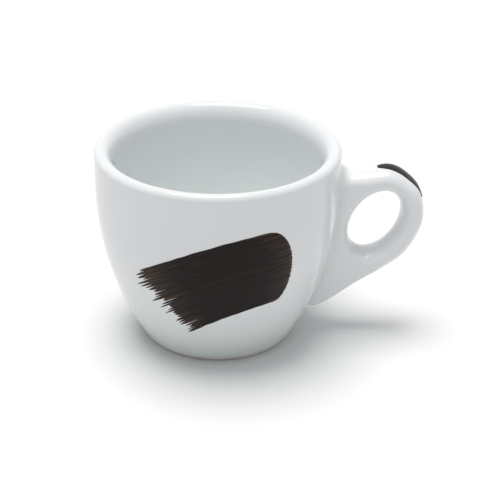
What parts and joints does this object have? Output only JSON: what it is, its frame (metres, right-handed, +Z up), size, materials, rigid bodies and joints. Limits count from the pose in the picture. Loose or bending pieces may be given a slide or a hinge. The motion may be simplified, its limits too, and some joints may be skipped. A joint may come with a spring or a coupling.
{
  "type": "espresso cup",
  "caption": "Thick-walled white porcelain espresso cup with a rounded lip, a bare foot ring, an ear handle with a finger hole and brushed brown enamel marks.",
  "frame": {"origin": "on the table, at the bowl's axis, in the plane of the foot ring", "axes": "+Z up along the bowl's axis, +X towards the handle, -Y towards the brushed front"},
  "size_m": [0.0841, 0.0624, 0.052],
  "materials": {
    "biscuit": "matte",
    "glaze": "gloss",
    "enamel": "gloss"
  },
  "bodies": {
    "root": {"bowl": "biscuit", "handle": "biscuit", "slip_joint": "biscuit", "bowl_glaze": "glaze", "handle_glaze": "glaze", "base_glaze": "glaze", "brush_stroke": "enamel", "handle_stroke": "enamel"}
  },
  "joints": []
}
